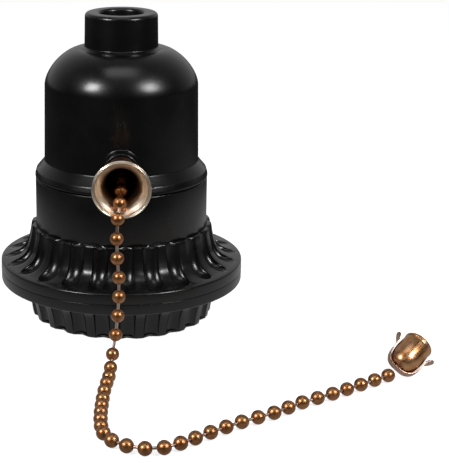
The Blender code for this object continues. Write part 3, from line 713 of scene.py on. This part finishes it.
def ring_grid(phase, side):
    """Fluted ring about Z; side is +1 for the upper ring and -1 for the lower one, its mirror in the seam.

    Every point of the envelope (r, z) is let in square to its slope by the depth of the flute at that angle. The
    crest of a rib falls off by 0.05 mm times the sixth power of the way across it, which eases its edges.
    """
    flute = np.linspace(0.0, np.pi, 22)[:-1]
    crest = np.linspace(-1.0, 1.0, 7)[:-1]
    envelope = smooth_line(RING_ENVELOPE, 9)
    radius, height, depth = envelope[:, 0, None], envelope[:, 1, None], envelope[:, 2, None]
    slope = np.gradient(envelope[:, :2], axis=0)
    slope /= np.linalg.norm(slope, axis=1, keepdims=True)
    past = np.clip(radius - SCOOP_START, 0.0, None) / (SCOOP_END - SCOOP_START)
    half = FLUTE_HALF * np.sqrt(np.clip(1.0 - past ** 2, 0.003, 1.0))
    crest_angle = crest * (180.0 / RIBS - half)
    flute_angle = 180.0 / RIBS - half * np.cos(flute)
    angle = np.concatenate((crest_angle, flute_angle), 1)
    cut = np.concatenate((0.05 * crest ** 6 + 0.0 * half, np.sin(flute) * depth * half / FLUTE_HALF), 1)
    r = radius + slope[:, 1, None] * cut
    z = height - slope[:, 0, None] * cut
    ribs = np.radians(phase - 90.0 + np.arange(RIBS) * 360.0 / RIBS)
    turns = ribs[None, :, None] + np.radians(angle)[:, None, :]
    fluted = np.stack((r[:, None] * np.cos(turns), r[:, None] * np.sin(turns), z[:, None] + 0.0 * turns), -1)
    fluted = fluted.reshape(len(envelope), -1, 3)
    rest = rounded(((28.2, 2.62, 0.0), (28.95, 2.45, 0.4), (29.0, 0.0, 0.07), (20.4, 0.0, 0.0), (20.0, 0.4, 0.0),
                    (20.0, 9.2, 0.0), (20.47, 9.2, 0.0), (20.47, 11.1, 0.05), (21.3, 11.1, 0.0)), closed=False)[1:-1]
    columns = np.arctan2(fluted[-1, :, 1], fluted[-1, :, 0])
    plain = np.stack((rest[:, 0, None] * np.cos(columns), rest[:, 0, None] * np.sin(columns),
                      rest[:, 1, None] + 0.0 * columns), -1)
    grid = np.concatenate((fluted, plain))
    grid[..., 2] = RING_SEAM + side * (grid[..., 2] + HALF_GAP)
    return grid


# The flutes' own steps are coarser than a fillet's, so only turns above 50 degrees are crisp here
RING_CRISP = 50.0
RINGS = (("upper_shade_ring", "upper_ring", -5.0, 1), ("lower_shade_ring", "lower_ring", -4.0, -1))
for name, body, phase, side in RINGS:
    ring = skin(name + "_fluted", [(ring_grid(phase, side), True, 0)], RING_CRISP)
    dress(ring, "phenolic", body, name)
    print(ring.name, len(ring.data.polygons), "faces")


# %% [markdown]
# The bell is a short brass trumpet. It is turned, so its whole shape is one profile: a plain shank behind the boss,
# where the thread is not drawn, a slender neck, a flare, and a rim that is rolled back on itself and shows as two thin
# rings with a groove between.

# %% Chain bell
def bell_grids():
    """Inside with the rim, and outside, each turned about the bell's axis: radius against distance from the middle.

    They are two grids because they have two finishes; they share both of their end rings, so the bell is closed.
    """
    outer = smooth_line(((3.4, 21.8), (3.4, 26.5), (3.5, 28.5), (3.8, 30.6), (4.25, 32.4), (4.75, 33.8),
                         (5.35, 34.9), (5.9, 35.8), (6.3, 36.45)), 8)
    rim = rounded(((6.42, 36.75, 0.0), (6.45, 37.0, 0.1), (6.33, 37.18, 0.1), (6.2, 37.12, 0.08),
                   (6.12, 37.04, 0.05), (6.02, 37.16, 0.08), (5.88, 37.14, 0.1), (5.8, 36.9, 0.0)),
                  closed=False, steps=4)
    inner = smooth_line(((5.7, 36.65), (5.3, 36.2), (4.8, 35.65), (4.3, 34.9), (3.9, 33.7), (3.55, 31.9),
                         (3.15, 29.2), (2.8, 27.0), (2.4, 22.0), (2.4, 12.9)), 8)
    tail = np.array(((2.4, 12.9), (2.9, 12.9), (2.9, 21.8), (3.4, 21.8)))
    outside, inside = np.concatenate((tail, outer)), np.concatenate((outer[-1:], rim, inner))
    return [(placed(turned(part, 96), FRONT, (0.0, 0.0, BELL_Z)), False, mark)
            for mark, part in enumerate((inside, outside))]


bell = skin("chain_bell_trumpet", bell_grids())
# The inside's colour darkens into the throat and the outside is dark brown: both are painted shade
for key in ("copper_plate", "copper_painted_shade"):
    bell.data.materials.append(FINISH[key])
dress(bell, "copper_plate", "lampholder", "chain_bell")
print("bell mouth is %.1f mm across" % (bell.dimensions[0] / MM))


# %% [markdown]
# The chain ends in a small drawn cup, and a springy clip is bent round the cup's closed end. The two ears of the
# clip stand off past the cup's sides. The cup is turned about its own axis, as a drawn piece is round, and then
# turned and moved to where it lies.

# %% End cup
def cup_grid():
    """Drawn cup with a hole in its bottom and a beaded rim: one closed profile turned about its own axis."""
    outer = smooth_line(((0.9, 0.0), (1.7, 0.1), (2.45, 0.7), (3.0, 1.7), (3.3, 3.0), (3.42, 4.8), (3.34, 6.5),
                         (3.24, 7.2)), 7)
    rim = rounded(((3.24, 7.4, 0.0), (3.38, 7.65, 0.1), (3.38, 8.05, 0.15), (3.15, 8.2, 0.12), (2.9, 8.05, 0.1),
                   (2.88, 7.7, 0.0)), closed=False, steps=5)
    inner = smooth_line(((2.85, 7.2), (2.85, 3.2), (2.55, 1.9), (2.0, 1.0), (1.3, 0.55), (0.9, 0.5)), 7)
    return placed(turned(np.concatenate((outer, rim, inner)), 72), cup_turn(), CUP_POINT)


# %% [markdown]
# The clip and, later, the centre tongue are flat strips that are bent one way only. A strip is a flattened tube: a
# section with nearly square corners, carried along a path in one plane. Its width may change on the way: the clip is
# narrow over the cup's bottom and widens into round-ended ears.

# %% Bent strips
# Below 1 this power makes a circle's section squarer; at 0.35 the corners of a strip are just broken
SQUARENESS = 0.35


def strip_grid(path, half_width, half_thickness, steps):
    """Strip along a path in the XZ plane: point = path(s) + Y * w(s) * u + normal * thickness * v.

    u and v are cos t and sin t with their sizes raised to the power that squares the section. Both ends close on the
    middle of their last section.
    """
    tangent = np.gradient(path, axis=0)
    tangent /= np.linalg.norm(tangent, axis=1, keepdims=True)
    around = np.linspace(0.0, 2.0 * np.pi, steps, endpoint=False)
    u, v = [np.sign(wave) * np.abs(wave) ** SQUARENESS for wave in (np.cos(around), np.sin(around))]
    x = path[:, 0, None] + tangent[:, 1, None] * v * half_thickness
    z = path[:, 1, None] - tangent[:, 0, None] * v * half_thickness
    grid = np.stack((x, half_width * u + 0.0 * x, z), -1)
    ends = grid[[0, -1]].mean(1, keepdims=True) + 0.0 * grid[[0, -1]]
    return np.concatenate((ends[:1], grid, ends[1:]))


def clip_grid():
    """Strip that is 1.56 mm wide over the cup's bottom and grows to 2.9 mm at its ears, by w = a + b exp(-(s / c)^2).

    s is the distance from the nearer end. Over the last 1.35 mm the width closes as a quarter ellipse.
    """
    half = ((0.0, -0.42), (1.3, -0.35), (2.4, 0.1), (3.2, 1.1), (3.58, 2.5), (3.68, 4.2), (3.8, 5.4), (4.35, 6.25),
            (5.05, 6.95))
    narrow, widening, over, tip = 0.78, 0.67, 3.4, 1.35
    arm = smooth_line(half, 8)
    path = np.concatenate((arm[:0:-1] * (-1.0, 1.0), arm))
    reach = np.concatenate(([0.0], np.cumsum(np.linalg.norm(np.diff(path, axis=0), axis=1))))
    from_end = np.minimum(reach, reach[-1] - reach)
    width = narrow + widening * np.exp(-(from_end / over) ** 2)
    width *= np.sqrt(np.clip(1.0 - (np.clip(tip - from_end, 0.0, None) / tip) ** 2, 0.0004, 1.0))
    return placed(strip_grid(path, width[:, None], 0.17, 28), cup_turn(), CUP_POINT)


cup = skin("end_cup_drawn", [(cup_grid(), True, 0)])
dress(cup, "drawn_bronze", "chain", "end_cup", slot="antique_bronze")
clip = dress(skin("end_clip_bent", [(clip_grid(), False, 0)]), "clip_steel", "chain", "end_clip")
print("cup: %d faces, clip: %d faces" % (len(cup.data.polygons), len(clip.data.polygons)))


# %% [markdown]
# With its end pieces made, the chain is whole: it leaves the body through the bell, and the cup and clip travel
# with it. Its length along its whole route and its thickness are printed.

# %% The chain as a cord
print("cord of %.0f mm, %.1f mm thick" % (chain_reach[-1], 2.0 * BEAD_R))


# %% [markdown]
# Under the neck's mouth sits the steel entry bushing with its fine M10 x 1 thread, and the lamp's screw shell fills
# the barrel from below. The screw shell is drawn from thin sheet, and the lamp thread is rolled into it, so the
# same wave shows inside and outside.

# %% Bushing, set screw and screw shell
# Pitches of the entry's fine thread and of the lamp's round one
ENTRY_PITCH = 1.0
LAMP_PITCH = 3.6


def bushing_grid():
    """Flanged sleeve turned about Z, with the thread let into its bore."""
    flange = rounded(((4.7, 59.9, 0.1), (8.6, 59.9, 0.2), (8.6, 61.1, 0.2), (6.4, 61.1, 0.1), (6.4, 69.8, 0.2),
                      (5.0, 69.8, 0.15)), closed=False)
    bore = wall(4.7, 69.5, 60.1, ENTRY_PITCH)
    return threaded(np.concatenate((flange, bore)), 72, 60.3, 69.3, ENTRY_PITCH, 0.32, outward=False)


def set_screw_grid():
    """Grub screw with a hexagon socket: in the socket the radius is divided by cos a, folded six times round."""
    profile = rounded(((0.0, 5.0, 0.0), (0.9, 5.0, 0.1), (1.3, 5.4, 0.1), (1.3, 8.2, 0.15), (0.62, 8.2, 0.05),
                       (0.62, 7.3, 0.0), (0.0, 7.2, 0.0)), closed=False)
    grid = turned(profile, 48)
    around = np.linspace(0.0, 2.0 * np.pi, 48, endpoint=False)
    fold = np.cos(np.mod(around, np.pi / 3.0) - np.pi / 6.0)
    socket = (profile[:, 0] < 0.7) & (profile[:, 1] > 6.0)
    grid[socket, :, :2] *= (0.9 / fold)[None, :, None]
    return placed(grid, BACK, (0.0, 0.0, SCREW_Z))


def screw_shell_grid():
    """Sheet 0.4 mm thick: the same helical wave is taken off the inner and the outer wall."""
    shoulder = rounded(((13.0, 23.9, 0.0), (13.8, 23.9, 0.5), (13.8, 23.0, 0.0)), closed=False)
    outer = np.concatenate((((6.5, 23.9),), shoulder, wall(13.8, 22.9, 4.2, LAMP_PITCH, 12)))
    lip = rounded(((13.8, 4.0, 0.0), (14.3, 2.9, 0.15), (14.0, 2.7, 0.1), (13.4, 3.9, 0.0)), closed=False)
    inner = np.concatenate((wall(13.4, 4.2, 22.9, LAMP_PITCH, 12), ((13.4, 23.2), (13.2, 23.5), (6.5, 23.5))))
    return threaded(np.concatenate((outer, lip, inner)), 120, 4.6, 22.6, LAMP_PITCH, 1.05)


bushing = skin("entry_bushing_threaded", [(bushing_grid(), True, 0)])
drill(bushing, SCREW_HOLE_R, 3.0, 8.0)
dress(bushing, "zinc_steel", "lampholder", "neck_bushing")
# The socket's six corners turn by less than the usual limit, and have to stay crisp
SCREW_CRISP = 30.0
set_screw = skin("set_screw_socketed", [(set_screw_grid(), False, 0)], SCREW_CRISP)
dress(set_screw, "zinc_steel", "lampholder", "neck_set_screw")
screw_shell = skin("screw_shell_rolled", [(screw_shell_grid(), True, 0)])
dress(screw_shell, "brass", "lampholder", "screw_shell")
print("screw shell: %d faces, %.1f mm wide" % (len(screw_shell.data.polygons), screw_shell.dimensions[0] / MM))


# %% [markdown]
# Rivets and the centre tongue show when the lampholder is seen from below. A set rivet has a low domed head. The
# tongue is a strip of spring bronze that curls down towards the lamp and turns up at its tip.

# %% Rivets and tongue
TONGUE_AT = np.array((3.2, 0.0, 23.6))


def rivet_grid(node):
    """Shank between two domed heads, turned about Z; the sizes come from the node's own box."""
    low, high = box_mm(node)
    x, y = (low[:2] + high[:2]) / 2.0
    head = (high[0] - low[0]) / 2.0
    shank = head * 0.6
    profile = rounded(((0.0, low[2], 0.0), (head * 0.6, low[2] + 0.03, 0.3), (head, low[2] + 0.45, 0.2),
                       (head, low[2] + 0.7, 0.05), (shank, low[2] + 0.7, 0.0), (shank, high[2] - 0.7, 0.0),
                       (head, high[2] - 0.7, 0.05), (head, high[2] - 0.45, 0.2), (head * 0.6, high[2] - 0.03, 0.3),
                       (0.0, high[2], 0.0)), closed=False, steps=5)
    return turned(profile, 36) + np.array((x, y, 0.0))


def tongue_grid():
    """Strip 4 mm wide and 0.4 mm thick; it is bent about the place where its rivet holds it."""
    path = smooth_line(((2.6, 0.0), (1.0, 0.0), (-1.4, 0.0), (-3.0, -0.35), (-5.4, -1.9), (-7.0, -2.7),
                        (-8.2, -2.3)), 8)
    return strip_grid(path, 2.0, 0.2, 24) + TONGUE_AT


for node in ("screw_shell_rivet_1", "screw_shell_rivet_2", "tongue_rivet"):
    dress(skin(node + "_set", [(rivet_grid(node), False, 0)]), "brass", "lampholder", node)
tongue = skin("centre_tongue_curled", [(tongue_grid(), False, 0)])
dress(tongue, "spring_bronze", "tongue", "centre_tongue")
print("tongue is %.1f mm long" % (tongue.dimensions[0] / MM))


# %% [markdown]
# The switch inside keeps the frame's own meshes: they are flat pressings, pins and screws, and they already have
# their true shape. Each gets the finish of its metal or plastic.

# %% Finishes of the inner pieces
FINISH_OF_SLOT = {part["node"]: part["material_slot"] for part in frame["record"]["subparts"]}
for node, piece in frame["nodes"].items():
    if not piece.hide_render:
        for holder in piece.material_slots:
            holder.material = FINISH[FINISH_OF_SLOT[node]]
print("inner pieces:", ", ".join(n for n, p in frame["nodes"].items() if not p.hide_render))


# %% [markdown]
# The stage is a plain pale table that runs out of view. Two soft boxes stand in front, left and right, and give each
# round thing its pair of highlights. A dim surround keeps the black plastic black, and the paler surround behind the
# object draws a thin light edge round its silhouette.

# %% Table
# Half the table's side in metres: it has to reach past the edge of every view
TABLE_HALF = 4.0


def make_table():
    """A white laminate top. The camera sees it pale; what the object mirrors of it darkens with the distance.

    The mirrored strength falls from 0.47 at 5 cm to 0.03 at 13 cm, which keeps the black plastic black.
    """
    corners = [(x * TABLE_HALF, y * TABLE_HALF, 0.0) for x, y in ((-1, -1), (1, -1), (1, 1), (-1, 1))]
    mesh = bpy.data.meshes.new("table")
    mesh.from_pydata(corners, [], [(0, 1, 2, 3)])
    table = bpy.data.objects.new("table", mesh)
    bpy.context.scene.collection.objects.link(table)
    material = bpy.data.materials.new("table_white_laminate")
    material.use_nodes = True
    tree = material.node_tree
    tree.nodes.clear()
    seen = add(tree, "LightPath").outputs["Is Camera Ray"]
    lit = add(tree, "BsdfDiffuse", {"Color": linear("#c8c8c8")}).outputs["BSDF"]
    glow = add(tree, "Emission", {"Color": WHITE, "Strength": 0.78}).outputs["Emission"]
    pale = add(tree, "AddShader", None, {0: lit, 1: glow}).outputs["Shader"]
    place = add(tree, "TexCoord").outputs["Object"]
    spread = {"Location": (-0.02, 0.0, 0.0), "Scale": (0.6, 1.0, 1.0)}
    place = add(tree, "Mapping", spread, {"Vector": place}).outputs["Vector"]
    away = add(tree, "VectorMath", {"operation": "LENGTH"}, {0: place}).outputs["Value"]
    fall = {"From Min": 0.05, "From Max": 0.13, "To Min": 0.47, "To Max": 0.03}
    near = add(tree, "MapRange", fall, {"Value": away}).outputs["Result"]
    grey = add(tree, "Emission", {"Color": WHITE}, {"Strength": near}).outputs["Emission"]
    mix = add(tree, "MixShader", None, {0: seen, 1: grey, 2: pale}).outputs["Shader"]
    add(tree, "OutputMaterial", None, {"Surface": mix})
    mesh.materials.append(material)
    return table


# %% Surround
def make_surround():
    """Dim in front, paler behind: strength rises with the direction's Y. The camera itself sees it white."""
    world = bpy.data.worlds.new("surround")
    bpy.context.scene.world = world
    world.use_nodes = True
    tree = world.node_tree
    tree.nodes.clear()
    toward = add(tree, "TexCoord").outputs["Generated"]
    depth = add(tree, "SeparateXYZ", None, {"Vector": toward}).outputs["Y"]
    rise = {"From Min": 0.0, "From Max": 0.9, "To Min": 0.03, "To Max": 0.65}
    strength = add(tree, "MapRange", rise, {"Value": depth}).outputs["Result"]
    dim = add(tree, "Background", None, {"Strength": strength}).outputs["Background"]
    plain = add(tree, "Background", {"Color": WHITE}).outputs["Background"]
    seen = add(tree, "LightPath").outputs["Is Camera Ray"]
    mix = add(tree, "MixShader", None, {0: seen, 1: dim, 2: plain}).outputs["Shader"]
    add(tree, "OutputWorld", None, {"Surface": mix})
    return world


print("table %.0f m wide, world %s" % (make_table().dimensions[0], make_surround().name))


# %% Lights
# The middle of the lampholder's front, in metres: all lights face it
AIM = np.array((0.0, -0.01, 0.035))


def soft_box(name, azimuth, elevation, distance, size, power):
    """Oblong area light on a sphere round the object; azimuth is counted from the front towards +X.

    A light shines along its own -Z, so its Z points back from the object, and its X stays level.
    """
    light = bpy.data.lights.new(name, "AREA")
    light.shape = "RECTANGLE"
    light.size, light.size_y = size
    light.energy = power
    holder = bpy.data.objects.new(name, light)
    bpy.context.scene.collection.objects.link(holder)
    a, e = math.radians(azimuth), math.radians(elevation)
    back = np.array((math.sin(a) * math.cos(e), -math.cos(a) * math.cos(e), math.sin(e)))
    x_axis = np.cross((0.0, 0.0, 1.0), back)
    x_axis /= np.linalg.norm(x_axis)
    columns = np.c_[x_axis, np.cross(back, x_axis), back, AIM + back * distance]
    holder.matrix_world = Matrix(np.vstack((columns, (0.0, 0.0, 0.0, 1.0))).tolist())
    return holder


soft_box("soft_box_left", -49.0, 35.0, 0.6, (0.15, 0.17), 2.5)
soft_box("soft_box_right", 49.0, 35.0, 0.6, (0.15, 0.17), 2.3)
soft_box("overhead", 0.0, 78.0, 0.7, (0.4, 0.25), 0.65)
bpy.context.scene.view_settings.view_transform = "Standard"
print("lights:", ", ".join("%s %.2f W" % (light.name, light.energy) for light in bpy.data.lights))
